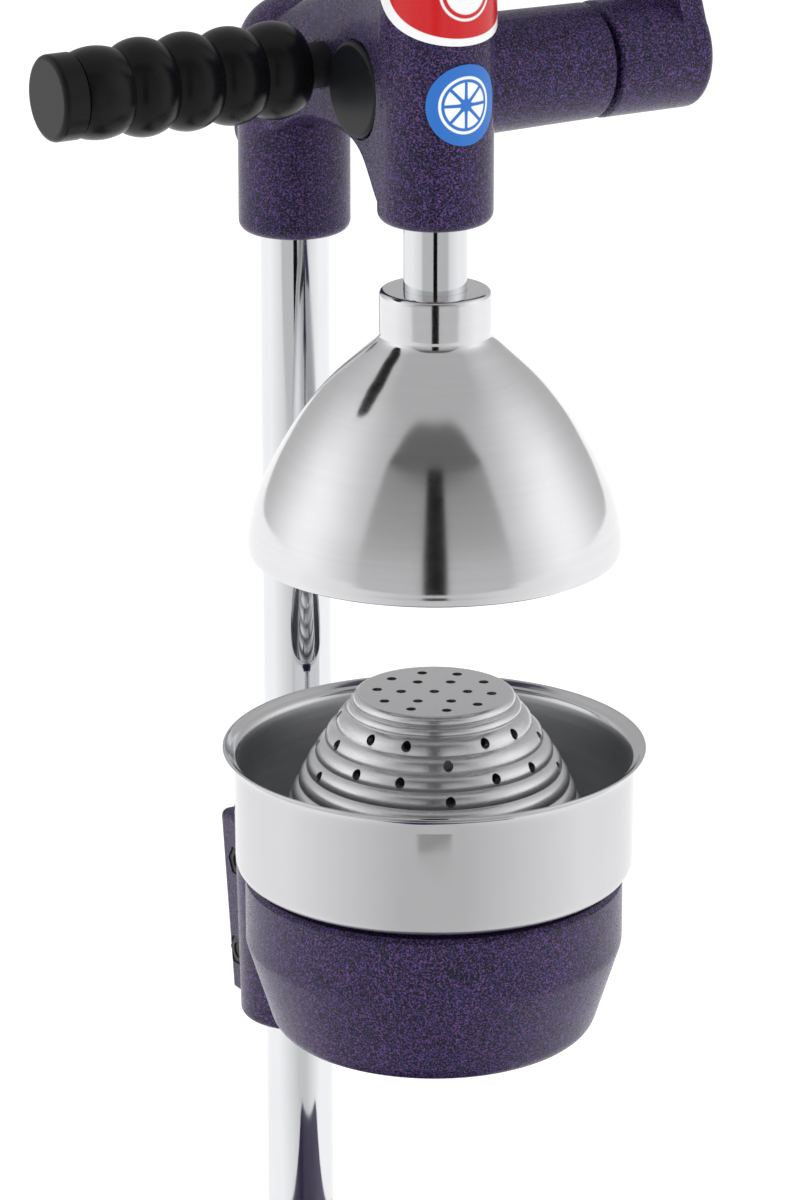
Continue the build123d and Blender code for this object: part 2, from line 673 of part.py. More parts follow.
groove_heights = [cone_top_z - ridge_first, cone_top_z - ridge_second]
while groove_heights[-1] > cone_foot_z + 2 * ridge_pitch:
    groove_heights.append(groove_heights[-1] - ridge_pitch)
grooves = [(cone_top_r, cone_top_z)]
grooves += [(cone_radius(z) - ridge_depth, z) for z in groove_heights]
grooves += [(cone_foot_r, cone_foot_z + 2)]
cone_inside = [(cone_radius(cone_foot_z + cone_high * t) - cone_wall - 0.9,
                cone_foot_z + cone_high * t) for t in (0.12, 0.3, 0.5, 0.7, 0.85)]
with BuildPart() as strainer_cone:
    with BuildSketch(Plane.XZ):
        with BuildLine():
            Line((0, cone_top_z), (cone_top_r, cone_top_z))
            for start, end in zip(grooves, grooves[1:]):
                ThreePointArc(start, rolled_out(start, end), end)
            Polyline(grooves[-1], (cone_foot_r, cone_foot_z), (cone_foot_r - 4.0, cone_foot_z),
                     *cone_inside, (cone_top_r - 3.0, cone_top_z - cone_wall),
                     (0, cone_top_z - cone_wall), (0, cone_top_z))
        make_face()
    revolve(axis=Axis.Z)
    with BuildSketch(Plane.XY.offset(cone_top_z + 1)):
        Circle(drain_hole_r)
        with PolarLocations(11.7, 6, start_angle=30):
            Circle(drain_hole_r)
        with PolarLocations(20.3, 10):
            Circle(drain_hole_r)
    extrude(amount=-8, mode=Mode.SUBTRACT)
    for high_z, low_z in ((292.0, 286.6), (281.2, 275.8)):
        for k in range(15):
            hole_z = low_z if k % 3 == 0 else high_z
            facing = radians(-113 + 24 * k)
            with BuildSketch(Plane(origin=(0, 0, hole_z), x_dir=(-sin(facing), cos(facing), 0),
                                   z_dir=(cos(facing), sin(facing), 0))):
                Circle(drain_hole_r)
            extrude(amount=60, mode=Mode.SUBTRACT)
strainer_cone.part.label = "strainer_cone"

# ---- bowl: wall, rolled lip, floor with centring rib, funnel, spout and spigot ----
floor_top_z = bowl_floor_z + bowl_floor
rib_r = cone_foot_r - 4.0 - run_gap
with BuildPart() as bowl:
    with BuildSketch(Plane.XZ):
        with BuildLine():
            Polyline((spout_r - bowl_wall, spout_low_z), (spout_r, spout_low_z), (spout_r, 208.0),
                     (44.0, 226.0), (spigot_r - run_gap - bowl_wall, 226.0),
                     (spigot_r - run_gap, 226.0), (spigot_r - run_gap, bowl_floor_z),
                     (bowl_wall_r - bowl_corner_r, bowl_floor_z))
            ThreePointArc((bowl_wall_r - bowl_corner_r, bowl_floor_z),
                          (bowl_wall_r - bowl_corner_r * (1 - sin(pi / 4)),
                           bowl_floor_z + bowl_corner_r * (1 - cos(pi / 4))),
                          (bowl_wall_r, bowl_floor_z + bowl_corner_r))
            Line((bowl_wall_r, bowl_floor_z + bowl_corner_r), (bowl_wall_r, bowl_rim_z - flare_high))
            ThreePointArc((bowl_wall_r, bowl_rim_z - flare_high),
                          (bowl_wall_r + 0.28 * (bowl_rim_r - bowl_wall_r), bowl_rim_z - 0.42 * flare_high),
                          (bowl_rim_r, bowl_rim_z - 0.9))
            Line((bowl_rim_r, bowl_rim_z - 0.9), (bowl_rim_r - 0.5, bowl_rim_z))
            ThreePointArc((bowl_rim_r - 0.5, bowl_rim_z),
                          (bowl_wall_r - bowl_wall + 0.30 * (bowl_rim_r - bowl_wall_r),
                           bowl_rim_z - 0.42 * flare_high),
                          (bowl_wall_r - bowl_wall, bowl_rim_z - flare_high - 1))
            Polyline((bowl_wall_r - bowl_wall, bowl_rim_z - flare_high - 1),
                     (bowl_wall_r - bowl_wall, floor_top_z + 3),
                     (bowl_wall_r - bowl_wall - 3, floor_top_z), (rib_r, floor_top_z),
                     (rib_r, floor_top_z + 3), (rib_r - 1.5, floor_top_z + 3),
                     (rib_r - 1.5, floor_top_z), (spigot_r - run_gap - bowl_wall, floor_top_z - 2),
                     (44.0, 228.0), (spout_r - bowl_wall, 210.0), close=False)
            Line((spout_r - bowl_wall, 210.0), (spout_r - bowl_wall, spout_low_z))
        make_face()
    revolve(axis=Axis.Z)
bowl.part.label = "bowl"

# ---- bowl seat with its split clamp ----
with BuildPart() as seat_casting:
    with BuildSketch(Plane.XZ):
        with BuildLine():
            Polyline((0, seat_ring_top_z), (seat_ring_r - 1.5, seat_ring_top_z),
                     (seat_ring_r, seat_ring_top_z - 1.5), (seat_ring_r, seat_ring_low_z),
                     (seat_low_r + 1.5, seat_low_z), (0, seat_low_z), close=True)
        make_face()
    revolve(axis=Axis.Z)
    fillet(seat_casting.edges().filter_by(lambda e: e.center().Z < seat_low_z + 0.1), 9.0)
    fillet(seat_casting.edges().filter_by(lambda e: abs(e.center().Z - seat_ring_low_z) < 0.1), 8.0)
    with BuildSketch(Plane.XY.offset(seat_ring_top_z - 1)):
        Circle(seat_step_r)
    extrude(amount=bowl_floor_z - seat_ring_top_z + 1)
    # neck from ring to sleeve
    with BuildSketch(along_x(-15)):
        with BuildLine():
            Polyline((40, 222), (column_y, 220), (column_y, 150), (40, 182), close=True)
        make_face()
    extrude(amount=30)
    with BuildSketch(Plane.XY.offset(seat_sleeve_low_z)):
        with Locations((0, column_y)):
            Circle(seat_sleeve_foot_r)
    with BuildSketch(Plane.XY.offset(seat_sleeve_top_z)):
        with Locations((0, column_y)):
            Circle(seat_sleeve_r)
    loft()
    fillet(seat_casting.faces().sort_by(Axis.Z)[0].edges(), 3.0)
    with BuildSketch(along_x(-lug_half)):
        with BuildLine():
            Polyline((column_y, lug_top_z), (lug_top_y, lug_top_z), (lug_low_y, seat_sleeve_low_z + 2),
                     (column_y, seat_sleeve_low_z + 2), close=True)
        make_face()
    extrude(amount=2 * lug_half)
    fillet(seat_casting.edges().filter_by(lambda e: e.center().Y > clamp_y + 0.5), 3.0)
    # hollow of the seat, bore, slit and bolt holes
    with BuildSketch(Plane.XZ):
        with BuildLine():
            Polyline((0, seat_low_z - 1), (seat_low_r - 9, seat_low_z - 1), (spigot_r + 1, 218.0),
                     (spigot_r, 222.0), (spigot_r, bowl_floor_z + 1), (0, bowl_floor_z + 1), close=True)
        make_face()
    revolve(axis=Axis.Z, mode=Mode.SUBTRACT)
    with BuildSketch(Plane.XY.offset(seat_sleeve_low_z - 5)):
        with Locations((0, column_y)):
            Circle(column_r + slide_gap)
        with Locations((0, column_y + 30)):
            Rectangle(2 * slit_half, 60)
    extrude(amount=100, mode=Mode.SUBTRACT)
    with BuildSketch(along_x(-30)):
        with Locations((clamp_y, clamp_low_z), (clamp_y, clamp_high_z)):
            Circle(clamp_bolt_r + 0.4)
    extrude(amount=60, mode=Mode.SUBTRACT)
    with BuildSketch(along_x(-lug_half + clamp_sink)):
        with Locations((clamp_y, clamp_low_z), (clamp_y, clamp_high_z)):
            RegularPolygon(clamp_head_r * 1.15 + 0.25, 6)
    extrude(amount=-30, mode=Mode.SUBTRACT)
    with BuildSketch(along_x(lug_half - clamp_sink)):
        with Locations((clamp_y, clamp_low_z), (clamp_y, clamp_high_z)):
            Circle(clamp_head_r + 0.5)
    extrude(amount=30, mode=Mode.SUBTRACT)
seat_casting.part.label = "seat_casting"

with BuildPart() as seat_clamp_bolts:
    for bolt_z in (clamp_low_z, clamp_high_z):
        with BuildSketch(along_x(lug_half - clamp_sink, clamp_y, bolt_z)):
            Circle(clamp_head_r)
        extrude(amount=clamp_sink)
        with BuildSketch(along_x(lug_half - clamp_sink + 2.5, clamp_y, bolt_z)):
            RegularPolygon(2.9, 6)
        extrude(amount=5, mode=Mode.SUBTRACT)
        with BuildSketch(along_x(-lug_half + 1, clamp_y, bolt_z)):
            Circle(clamp_bolt_r)
        extrude(amount=2 * lug_half - clamp_sink - 1)
seat_clamp_bolts.part.label = "seat_clamp_bolts"

with BuildPart() as seat_clamp_nuts:
    for bolt_z in (clamp_low_z, clamp_high_z):
        with BuildSketch(along_x(-lug_half + clamp_sink, clamp_y, bolt_z)):
            RegularPolygon(clamp_head_r * 1.15, 6)
            Circle(clamp_bolt_r, mode=Mode.SUBTRACT)
        extrude(amount=-5)
seat_clamp_nuts.part.label = "seat_clamp_nuts"

# ---- labels wrapped round the front boss: the oval badge and the round sticker below it ----
def wrapped_label(half_turn, half_high, centre_z, thick):
    # a thin sleeve on the boss, kept where its side view lies inside the label's ellipse
    edge = []
    for k in range(label_steps + 1):
        turn = half_turn * (1 - cos(pi * k / label_steps)) / 2
        rise = half_high * sqrt(max(0.0, 1 - (turn / half_turn) ** 2))
        edge.append((-(boss_r + thick) * cos(turn), rise))
    front_y = edge[0][0]
    clear_y = front_y - label_clear
    with BuildPart() as label:
        with BuildSketch(Plane.XY.offset(centre_z - half_high)):
            Circle(boss_r + thick)
            Circle(boss_r, mode=Mode.SUBTRACT)
        extrude(amount=2 * half_high)
        with BuildSketch(along_x(-2 * boss_r)):
            with BuildLine():
                Polyline(*[(y, centre_z + rise) for y, rise in edge],
                         *[(y, centre_z - rise) for y, rise in reversed(edge[:-1])])
                Polyline((front_y, centre_z - half_high), (clear_y, centre_z - half_high),
                         (clear_y, centre_z + half_high), (front_y, centre_z + half_high))
            make_face()
        extrude(amount=4 * boss_r, mode=Mode.INTERSECT)
    return label


front_badge = wrapped_label(badge_half_turn, badge_half_high, badge_z, badge_thick)
front_badge.part.label = "front_badge"

round_sticker = wrapped_label(sticker_r / boss_r, sticker_r, sticker_z, sticker_thick)
round_sticker.part.label = "round_sticker"

export_step(anti_slip_pad.part, "parts/anti_slip_pad.step")
export_step(base_plate.part, "parts/base_plate.step")
export_step(column.part, "parts/column.step")
export_step(column_washer.part, "parts/column_washer.step")
export_step(column_bolt.part, "parts/column_bolt.step")
export_step(grub_screws.part, "parts/grub_screws.step")
export_step(head_casting.part, "parts/head_casting.step")
export_step(rack_bush_lower.part, "parts/rack_bush_lower.step")
export_step(rack_bush_upper.part, "parts/rack_bush_upper.step")
export_step(shaft_bush_left.part, "parts/shaft_bush_left.step")
export_step(shaft_bush_inner.part, "parts/shaft_bush_inner.step")
export_step(shaft_bush_outer.part, "parts/shaft_bush_outer.step")
export_step(side_grip.part, "parts/side_grip.step")
export_step(side_grip_stud.part, "parts/side_grip_stud.step")
export_step(lever_grip.part, "parts/lever_grip.step")
export_step(lever_grip_stud.part, "parts/lever_grip_stud.step")
export_step(pinion_shaft.part, "parts/pinion_shaft.step")
export_step(shaft_keys.part, "parts/shaft_keys.step")
export_step(shaft_end_cap.part, "parts/shaft_end_cap.step")
export_step(pinion_gear.part, "parts/pinion_gear.step")
export_step(thrust_washer.part, "parts/thrust_washer.step")
export_step(lever_arm.part, "parts/lever_arm.step")
export_step(lever_hub_screw.part, "parts/lever_hub_screw.step")
export_step(rack_rod.part, "parts/rack_rod.step")
export_step(bell.part, "parts/bell.step")
export_step(bell_screw.part, "parts/bell_screw.step")
export_step(strainer_cone.part, "parts/strainer_cone.step")
export_step(bowl.part, "parts/bowl.step")
export_step(seat_casting.part, "parts/seat_casting.step")
export_step(seat_clamp_bolts.part, "parts/seat_clamp_bolts.step")
export_step(seat_clamp_nuts.part, "parts/seat_clamp_nuts.step")
export_step(front_badge.part, "parts/front_badge.step")
export_step(round_sticker.part, "parts/round_sticker.step")
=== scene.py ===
import math
import bmesh
import bpy
import numpy as np
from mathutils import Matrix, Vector


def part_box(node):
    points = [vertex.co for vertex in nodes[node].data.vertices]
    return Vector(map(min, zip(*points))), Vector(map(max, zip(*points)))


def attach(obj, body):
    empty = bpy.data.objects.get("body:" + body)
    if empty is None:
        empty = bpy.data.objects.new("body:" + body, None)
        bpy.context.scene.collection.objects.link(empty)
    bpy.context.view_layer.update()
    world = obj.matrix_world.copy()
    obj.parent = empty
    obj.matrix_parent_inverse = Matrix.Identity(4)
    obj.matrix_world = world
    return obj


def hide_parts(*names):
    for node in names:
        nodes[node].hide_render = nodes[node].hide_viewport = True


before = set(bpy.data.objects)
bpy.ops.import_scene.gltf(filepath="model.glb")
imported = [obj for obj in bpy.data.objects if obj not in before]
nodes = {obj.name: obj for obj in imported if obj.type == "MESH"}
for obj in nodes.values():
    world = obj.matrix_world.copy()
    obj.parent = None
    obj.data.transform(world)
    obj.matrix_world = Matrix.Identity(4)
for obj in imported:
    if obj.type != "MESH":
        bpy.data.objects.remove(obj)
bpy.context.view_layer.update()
print("frame loaded:", len(nodes), "nodes")

millimetre = 0.001


def smoothLine(points, steps=8):
    # a curve through every point: between two points it is the cubic whose end slopes are
    # half the step from the point before to the point after
    points = np.asarray(points, float)
    padded = np.concatenate([2 * points[:1] - points[1:2], points, 2 * points[-1:] - points[-2:-1]])
    before, start, end, after = padded[:-3], padded[1:-2], padded[2:-1], padded[3:]
    t = np.linspace(0, 1, steps, endpoint=False)[None, :, None]
    slopeIn, slopeOut = ((end - before) / 2)[:, None], ((after - start) / 2)[:, None]
    start, end = start[:, None], end[:, None]
    curve = ((2 * t ** 3 - 3 * t ** 2 + 1) * start + (t ** 3 - 2 * t ** 2 + t) * slopeIn
             + (3 * t ** 2 - 2 * t ** 3) * end + (t ** 3 - t ** 2) * slopeOut)
    return np.concatenate([curve.reshape(-1, 2), points[-1:]])


def roundCorners(corners, radii, steps=6):
    # each corner of an open line becomes a quadratic curve with the corner as its middle point;
    # it starts radius / tan(half the corner's angle) away, and the two ends stay as they are
    corners = np.asarray(corners, float)
    t = np.linspace(0, 1, steps + 1)[:, None]
    out = [corners[:1]]
    for before, here, after, radius in zip(corners[:-2], corners[1:-1], corners[2:], radii):
        back, on = before - here, after - here
        backLong, onLong = np.linalg.norm(back), np.linalg.norm(on)
        half = np.arccos(np.clip(back @ on / backLong / onLong, -1, 1)) / 2
        reach = min(radius / np.tan(half), 0.48 * backLong, 0.48 * onLong)
        start, end = here + back / backLong * reach, here + on / onLong * reach
        out.append((1 - t) ** 2 * start + 2 * t * (1 - t) * here + t ** 2 * end)
    return np.concatenate(out + [corners[-1:]])


def lathe(name, outline, body, material, turns=256, sharpAngle=40.0):
    # a closed outline of (radius, height) in millimetres carried round the Z axis:
    # x = r sin(a), y = -r cos(a), z = h, on a grid of angle by outline point
    outline = np.asarray(outline, float) * millimetre
    count = len(outline)
    angle = np.linspace(0, 2 * np.pi, turns, endpoint=False)[:, None]
    radius, height = outline[None, :, 0], outline[None, :, 1]
    grid = np.stack([radius * np.sin(angle), -radius * np.cos(angle), height + 0 * angle], -1)
    i, j = np.meshgrid(np.arange(turns), np.arange(count), indexing="ij")
    iNext, jNext = (i + 1) % turns, (j + 1) % count
    quads = np.stack([i * count + j, iNext * count + j, iNext * count + jNext, i * count + jNext], -1)
    mesh = bpy.data.meshes.new(name)
    mesh.from_pydata(grid.reshape(-1, 3).tolist(), [], quads.reshape(-1, 4).tolist())
    work = bmesh.new()
    work.from_mesh(mesh)
    bmesh.ops.recalc_face_normals(work, faces=work.faces)
    work.to_mesh(mesh)
    work.free()
    mesh.materials.append(material)
    mesh.shade_smooth()
    mesh.set_sharp_from_angle(angle=math.radians(sharpAngle))
    piece = bpy.data.objects.new(name, mesh)
    bpy.context.scene.collection.objects.link(piece)
    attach(piece, body)
    return piece


class Wire:
    # a number socket in a node tree: operators on it add Math nodes
    def __init__(self, tree, socket):
        self.tree = tree
        self.socket = socket

    def math(self, operation, *values, clamp=False):
        maths = self.tree.nodes.new("ShaderNodeMath")
        maths.operation = operation
        maths.use_clamp = clamp
        for place, value in enumerate(values):
            if isinstance(value, Wire):
                self.tree.links.new(value.socket, maths.inputs[place])
            else:
                maths.inputs[place].default_value = value
        return Wire(self.tree, maths.outputs[0])

    def __add__(self, other):
        return self.math("ADD", self, other)

    def __radd__(self, other):
        return self.math("ADD", other, self)

    def __sub__(self, other):
        return self.math("SUBTRACT", self, other)

    def __rsub__(self, other):
        return self.math("SUBTRACT", other, self)

    def __mul__(self, other):
        return self.math("MULTIPLY", self, other)

    def __rmul__(self, other):
        return self.math("MULTIPLY", other, self)

    def __truediv__(self, other):
        return self.math("DIVIDE", self, other)

    def __pow__(self, other):
        return self.math("POWER", self, other)

    def above(self, limit, soft=0.0):
        # 0 below the limit and 1 above it, over a soft step
        if soft == 0.0:
            return self.math("GREATER_THAN", self, limit)
        return self.math("MULTIPLY_ADD", self, 1 / soft, 0.5 - limit / soft, clamp=True)

    def clamp(self):
        return self.math("ADD", self, 0.0, clamp=True)

    def most(self, other):
        return self.math("MAXIMUM", self, other)

    def sine(self):
        return self.math("SINE", self)

    def size(self):
        return self.math("ABSOLUTE", self)


class Finish:
    # one material and the few ways its nodes are made
    def __init__(self, name):
        self.material = bpy.data.materials.new(name)
        self.material.use_nodes = True
        self.tree = self.material.node_tree
        self.tree.nodes.clear()
        self.place = self.node("ShaderNodeTexCoord").outputs["Object"]
        parts = self.node("ShaderNodeSeparateXYZ", inputs={"Vector": self.place})
        self.x, self.y, self.z = (Wire(self.tree, parts.outputs[k]) for k in range(3))

    def node(self, kind, settings=None, inputs=None):
        made = self.tree.nodes.new(kind)
        for key, value in (settings or {}).items():
            setattr(made, key, value)
        for key, value in (inputs or {}).items():
            socket = made.inputs[key]
            if isinstance(value, Wire):
                self.tree.links.new(value.socket, socket)
            elif isinstance(value, bpy.types.NodeSocket):
                self.tree.links.new(value, socket)
            elif isinstance(value, tuple) and len(value) == 3 and socket.type == "RGBA":
                socket.default_value = (*value, 1.0)
            else:
                socket.default_value = value
        return made

    def wire(self, socket):
        return Wire(self.tree, socket)

    def noise(self, scale, detail=3.0, rough=0.5, vector=None, distortion=0.0):
        made = self.node("ShaderNodeTexNoise", inputs={
            "Vector": vector or self.place, "Scale": scale, "Detail": detail, "Roughness": rough,
            "Distortion": distortion})
        return self.wire(made.outputs["Fac"])

    def cells(self, scale):
        # distance to the middle of the nearest cell
        made = self.node("ShaderNodeTexVoronoi", inputs={"Vector": self.place, "Scale": scale})
        return self.wire(made.outputs["Distance"])

    def stretched(self, x, y, z):
        return self.node("ShaderNodeMapping", inputs={"Vector": self.place, "Scale": (x, y, z)}).outputs[0]

    def vector(self, x, y, z):
        return self.node("ShaderNodeCombineXYZ", inputs={"X": x, "Y": y, "Z": z}).outputs[0]

    def mix(self, factor, first, second):
        # the node's inputs by number: 0 is the factor, 6 and 7 are the two colours
        made = self.node("ShaderNodeMix", {"data_type": "RGBA"}, {0: factor, 6: first, 7: second})
        return made.outputs[2]

    def bump(self, height, distance, strength=1.0, under=None):
        inputs = {"Height": height, "Distance": distance, "Strength": strength}
        if under is not None:
            inputs["Normal"] = under
        return self.node("ShaderNodeBump", inputs=inputs).outputs[0]

    def radiusFrom(self, x, y):
        # distance from a vertical axis
        dx, dy = self.x - x, self.y - y
        return (dx * dx + dy * dy) ** 0.5

    def turnAround(self, x, y):
        # angle about a vertical axis, 0 at the front
        return self.x.math("ARCTAN2", self.x - x, (self.y - y) * -1.0)

    def shader(self, **inputs):
        names = {key.replace("_", " "): value for key, value in inputs.items()}
        surface = self.node("ShaderNodeBsdfPrincipled", inputs=names)
        self.node("ShaderNodeOutputMaterial", inputs={"Surface": surface.outputs[0]})
        return self.material


coatLook = {
    "base": (0.0040, 0.0034, 0.0078),
    "fleckViolet": (0.140, 0.085, 0.360),
    "fleckMagenta": (0.240, 0.110, 0.350),
    "fleckBlue": (0.075, 0.065, 0.210),
    "fleckScale": 1500.0,
    "fleckFrom": 0.53,
    "fleckSoft": 0.10,
    "fleckRough": 0.25,
    "wormScale": 620.0,
    "wormTwist": 2.2,
    "veinSharp": 11.0,
    "magentaFrom": 0.55,
    "blueBelow": 0.42,
    "peelScale": 430.0,
    "peelDepth": 0.00030,
    "peelStrength": 0.8,
    "hueScale": 700.0,
    "driftScale": 45.0,
    "smudgeScale": 140.0,
    "smudgeRough": 0.08,
    "gloss": 0.13,
    "fleckMetal": 0.85,
    "specular": 0.22,
    "clear": 0.15,
    "clearRough": 0.08,
}


def hammertoneCoat():
    # dark violet hammered powder coat: fine flecks gather in worm-like veins over near-black
    look = coatLook
    paint = Finish("hammertoneCoat")
    worms = paint.noise(look["wormScale"], 3.0, 0.65, distortion=look["wormTwist"])
    vein = 1 - ((worms - 0.5).size() * look["veinSharp"]).clamp()
    specks = paint.noise(look["fleckScale"], 2.0, 0.6).above(look["fleckFrom"], look["fleckSoft"])
    drift = paint.noise(look["driftScale"], 2.0, 0.5)
    shown = (specks * (0.45 + vein * 0.75) * (0.55 + drift * 0.7)).clamp()
    hue = paint.noise(look["hueScale"], 2.0, 0.6)
    colour = paint.mix(hue.above(look["magentaFrom"], 0.12), look["fleckViolet"], look["fleckMagenta"])
    colour = paint.mix(1 - hue.above(look["blueBelow"], 0.10), colour, look["fleckBlue"])
    colour = paint.mix(shown, look["base"], colour)
    peel = paint.noise(look["peelScale"], 2.0, 0.5) + vein * 0.3 + specks * 0.12
    smudge = paint.noise(look["smudgeScale"], 2.0)
    rough = look["gloss"] + smudge * look["smudgeRough"] + shown * look["fleckRough"]
    return paint.shader(Base_Color=colour, Roughness=rough, Metallic=shown * look["fleckMetal"],
                        Normal=paint.bump(peel, look["peelDepth"], look["peelStrength"]),
                        Specular_IOR_Level=look["specular"], Coat_Weight=look["clear"],
                        Coat_Roughness=look["clearRough"])


chromeLook = {"columnTone": (0.80, 0.81, 0.83), "columnGloss": 0.035, "columnScratch": 0.10,
              "rodTone": (0.74, 0.75, 0.77), "rodGloss": 0.05, "rodScratch": 0.12,
              "lineScale": (2600.0, 2600.0, 30.0), "lineDepth": 0.00002, "wipeScale": 14.0, "wipeTone": 0.93}


def chromePlate(name, tone, gloss, scratch):
    # bright plate with faint lengthwise polishing lines and a few wipe marks
    look = chromeLook
    plate = Finish(name)
    lines = plate.noise(1.0, 3.0, 0.6, plate.stretched(*look["lineScale"]))
    smear = plate.noise(look["wipeScale"], 4.0, 0.6).above(0.56, 0.16)
    rough = gloss + lines * 0.05 + smear * 0.05
    colour = plate.mix(smear * 0.4, tone, tuple(c * look["wipeTone"] for c in tone))
    return plate.shader(Base_Color=colour, Metallic=1.0, Roughness=rough,
                        Normal=plate.bump(lines, look["lineDepth"], scratch))


bellLook = {"tone": (0.80, 0.80, 0.815), "gloss": 0.055, "ringScale": 2400.0, "broadScale": 420.0,
            "cloudScale": 26.0, "handledScale": 60.0, "swirl": 0.0009, "lineDepth": 0.00004,
            "lineStrength": 0.05, "ringTone": 0.86}


def buffedAluminium():
    # buffed on a lathe: fine rings round the axis, soft cloudy patches
    look = bellLook
    metal = Finish("bellMetal")
    ringPlace = metal.vector(metal.radiusFrom(0.0, 0.0), metal.turnAround(0.0, 0.0) * look["swirl"], metal.z)
    rings = metal.noise(look["ringScale"], 3.0, 0.65, ringPlace)
    broad = metal.noise(look["broadScale"], 2.0, 0.5, ringPlace)
    cloud = metal.noise(look["cloudScale"], 4.0, 0.6)
    handled = metal.noise(look["handledScale"], 5.0, 0.7).above(0.58, 0.2)
    rough = look["gloss"] + rings * 0.07 + cloud.above(0.5, 0.4) * 0.05 + handled * 0.03
    colour = metal.mix(broad * 0.5, look["tone"], tuple(c * look["ringTone"] for c in look["tone"]))
    return metal.shader(Base_Color=colour, Metallic=1.0, Roughness=rough,
                        Normal=metal.bump(rings + broad * 0.6, look["lineDepth"], look["lineStrength"]))


# inner: the darker grey painted within the wall's radius, painted shade of the bowl's hollow and underside
bowlLook = {"insideRadius": 0.0700, "outerPale": (0.67, 0.67, 0.68), "outerGrey": (0.63, 0.63, 0.645),
            "inner": (0.50, 0.51, 0.52), "gloss": 0.085, "insideDull": 0.25, "swirl": 0.004,
            "ringScale": 1500.0, "coarseScale": 360.0, "cloudScale": 34.0, "rippleScale": 38.0,
            "rippleDepth": 0.0006, "lineDepth": 0.00006}


def stainlessBowl():
    # outside mirror-like with faint rings, inside brushed in circles and rougher; everything within the
    # wall's radius, the hollow and the underside, is also painted a darker grey as painted shade
    look = bowlLook
    metal = Finish("stainlessBowl")
    radius = metal.radiusFrom(0.0, 0.0)
    # within the wall's radius: rougher and brushed, and painted darker as painted shade
    inside = 1 - radius.above(look["insideRadius"], 0.0004)
    ringPlace = metal.vector(radius, metal.turnAround(0.0, 0.0) * look["swirl"], metal.z)
    rings = metal.noise(look["ringScale"], 4.0, 0.7, ringPlace)
    coarse = metal.noise(look["coarseScale"], 2.0, 0.5, ringPlace)
    cloud = metal.noise(look["cloudScale"], 4.0, 0.6)
    ripple = metal.noise(look["rippleScale"], 2.0, 0.5)
    rough = look["gloss"] + rings * 0.03 + inside * look["insideDull"] + cloud * 0.03
    # the inner grey mixed in here is painted shade
    colour = metal.mix(inside * coarse, metal.mix(cloud, look["outerPale"], look["outerGrey"]), look["inner"])
    lines = (rings + coarse) * (0.08 + inside * 0.92)
    return metal.shader(Base_Color=colour, Metallic=1.0, Roughness=rough,
                        Normal=metal.bump(lines, look["lineDepth"], 0.35,
                                          metal.bump(ripple, look["rippleDepth"], 0.25)))


strainerLook = {"pale": (0.80, 0.80, 0.81), "grey": (0.64, 0.64, 0.66), "gloss": 0.17, "swirl": 0.005,
                "ringScale": 1900.0, "grainScale": 1400.0, "lineDepth": 0.00005}


def turnedStainless():
    # satin turned steel with a soft grain and drawn lines
    look = strainerLook
    metal = Finish("turnedStainless")
    ringPlace = metal.vector(metal.radiusFrom(0.0, 0.0), metal.turnAround(0.0, 0.0) * look["swirl"], metal.z)
    rings = metal.noise(look["ringScale"], 4.0, 0.7, ringPlace)
    grain = metal.noise(look["grainScale"], 2.0, 0.5)
    return metal.shader(Base_Color=metal.mix(rings, look["pale"], look["grey"]), Metallic=1.0,
                        Roughness=look["gloss"] + rings * 0.10 + grain * 0.06,
                        Normal=metal.bump(rings + grain * 0.5, look["lineDepth"], 0.4))


blackLook = {"gripTone": (0.0035, 0.0035, 0.0042), "gripGloss": 0.20, "capTone": (0.006, 0.0065, 0.008),
             "capGloss": 0.30, "rubScale": (70.0, 260.0, 260.0), "rubTone": 1.9, "grainScale": 1500.0,
             "grainDepth": 0.00001}


def mouldedBlack(name, tone, gloss):
    # hard black plastic, lightly grained by its mould, with faint rub marks
    look = blackLook
    plastic = Finish(name)
    grain = plastic.noise(look["grainScale"], 2.0, 0.5)
    rub = plastic.noise(1.0, 4.0, 0.6, plastic.stretched(*look["rubScale"]))
    colour = plastic.mix(rub.above(0.55, 0.3) * 0.5, tone, tuple(c * look["rubTone"] for c in tone))
    return plastic.shader(Base_Color=colour, Roughness=gloss + grain * 0.03 + rub * 0.10,
                          Normal=plastic.bump(grain, look["grainDepth"], 0.15), Specular_IOR_Level=0.22)


# small parts: two colours, the size and detail of their clouding, metal, roughness and its spread,
# bump depth and strength
partLook = {
    "sinteredBronze": ((0.50, 0.32, 0.12), (0.66, 0.47, 0.22), 1500.0, 3.0, 1.0, 0.38, 0.2, 0.00006, 0.4),
    "zincSteel": ((0.55, 0.56, 0.58), (0.68, 0.68, 0.67), 160.0, 4.0, 1.0, 0.3, 0.2, 0.00006, 0.3),
    "blackedSteel": ((0.030, 0.030, 0.033), (0.075, 0.073, 0.072), 200.0, 4.0, 0.8, 0.34, 0.2, 0.00006, 0.3),
}
poreScale = {"sinteredBronze": 1700.0, "zincSteel": 700.0}


def smallPart(name):
    # clouded metal; bronze also has pores in its surface, and zinc a faint spangle in its gloss
    dark, pale, scale, detail, metallic, gloss, spread, depth, strength = partLook[name]
    metal = Finish(name)
    cloud = metal.noise(scale, detail, 0.6)
    height, rough = cloud, gloss + cloud * spread
    if name in poreScale:
        cells = metal.cells(poreScale[name])
        if name == "sinteredBronze":
            height = cloud + cells
        else:
            rough = rough + cells * 0.05
    return metal.shader(Base_Color=metal.mix(cloud, dark, pale), Metallic=metallic, Roughness=rough,
                        Normal=metal.bump(height, depth, strength))


rubberLook = {"clean": (0.018, 0.018, 0.019), "dusty": (0.055, 0.053, 0.05), "grainScale": 1300.0,
              "dustScale": 70.0, "grainDepth": 0.00012}


